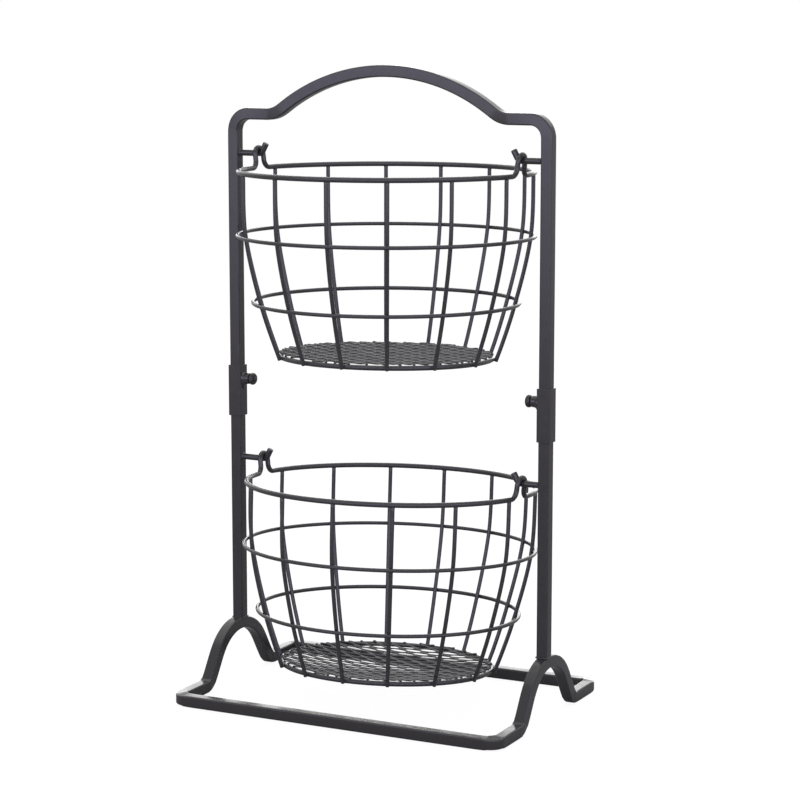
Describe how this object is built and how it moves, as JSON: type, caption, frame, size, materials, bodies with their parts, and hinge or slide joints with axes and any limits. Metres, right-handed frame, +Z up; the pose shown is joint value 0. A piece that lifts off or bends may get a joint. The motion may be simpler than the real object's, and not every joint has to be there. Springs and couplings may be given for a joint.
{
  "type": "two-tier wire basket stand",
  "caption": "Countertop stand of black square bar with an arched handle and two round wire baskets hung on hooks, one above the other.",
  "frame": {"origin": "on the table, under the middle of the frame, half way between the posts", "axes": "+Z up, +X towards the right post, +Y to the back, with the front rail at -Y"},
  "size_m": [0.315, 0.2593, 0.546],
  "materials": {
    "frame_coat": "satin charcoal powder coat on steel bar",
    "wire_coat": "satin charcoal powder coat on steel wire",
    "mesh_coat": "satin charcoal powder coat on expanded steel",
    "screw_coat": "satin black coat on a knurled steel knob",
    "screw_steel": "black oxide"
  },
  "bodies": {
    "base": {"base_bar": "frame_coat", "lower_post_left": "frame_coat", "lower_post_right": "frame_coat", "sleeve_left": "frame_coat", "sleeve_right": "frame_coat", "screw_boss_left": "frame_coat", "screw_boss_right": "frame_coat", "lower_hook_left": "frame_coat", "lower_hook_right": "frame_coat"},
    "upper_frame": {"handle_bar": "frame_coat", "upper_hook_left": "frame_coat", "upper_hook_right": "frame_coat"},
    "lower_basket": {"lower_basket_rim": "wire_coat", "lower_basket_upper_ring": "wire_coat", "lower_basket_lower_ring": "wire_coat", "lower_basket_floor_ring": "wire_coat", "lower_basket_floor_mesh": "mesh_coat", "lower_basket_rib_01": "wire_coat", "lower_basket_rib_02": "wire_coat", "lower_basket_rib_03": "wire_coat", "lower_basket_rib_04": "wire_coat", "lower_basket_rib_05": "wire_coat", "lower_basket_rib_06": "wire_coat", "lower_basket_rib_07": "wire_coat", "lower_basket_rib_08": "wire_coat", "lower_basket_rib_09": "wire_coat", "lower_basket_rib_10": "wire_coat", "lower_basket_rib_11": "wire_coat", "lower_basket_rib_12": "wire_coat", "lower_basket_rib_13": "wire_coat", "lower_basket_rib_14": "wire_coat"},
    "upper_basket": {"upper_basket_rim": "wire_coat", "upper_basket_upper_ring": "wire_coat", "upper_basket_lower_ring": "wire_coat", "upper_basket_floor_ring": "wire_coat", "upper_basket_floor_mesh": "mesh_coat", "upper_basket_rib_01": "wire_coat", "upper_basket_rib_02": "wire_coat", "upper_basket_rib_03": "wire_coat", "upper_basket_rib_04": "wire_coat", "upper_basket_rib_05": "wire_coat", "upper_basket_rib_06": "wire_coat", "upper_basket_rib_07": "wire_coat", "upper_basket_rib_08": "wire_coat", "upper_basket_rib_09": "wire_coat", "upper_basket_rib_10": "wire_coat", "upper_basket_rib_11": "wire_coat", "upper_basket_rib_12": "wire_coat", "upper_basket_rib_13": "wire_coat", "upper_basket_rib_14": "wire_coat"},
    "left_screw": {"screw_shank_left": "screw_steel", "screw_knob_left": "screw_coat"},
    "right_screw": {"screw_shank_right": "screw_steel", "screw_knob_right": "screw_coat"}
  },
  "joints": [
    {"name": "upper_frame_lift", "type": "slide", "parent": "base", "child": "upper_frame", "axis": [0, 0, 1], "range_m": [0, 0.03]},
    {"name": "lower_basket_swing", "type": "hinge", "parent": "base", "child": "lower_basket", "pos_m": [0, 0, 0.2009], "axis": [1, 0, 0], "range_deg": [-40, 40]},
    {"name": "upper_basket_swing", "type": "hinge", "parent": "upper_frame", "child": "upper_basket", "pos_m": [0, 0, 0.4693], "axis": [1, 0, 0], "range_deg": [-40, 40]},
    {"name": "left_screw_turn", "type": "hinge", "parent": "base", "child": "left_screw", "pos_m": [-0.133, 0, 0.271], "axis": [1, 0, 0], "range_deg": [0, 1080]},
    {"name": "right_screw_turn", "type": "hinge", "parent": "base", "child": "right_screw", "pos_m": [0.133, 0, 0.271], "axis": [-1, 0, 0], "range_deg": [0, 1080]}
  ]
}
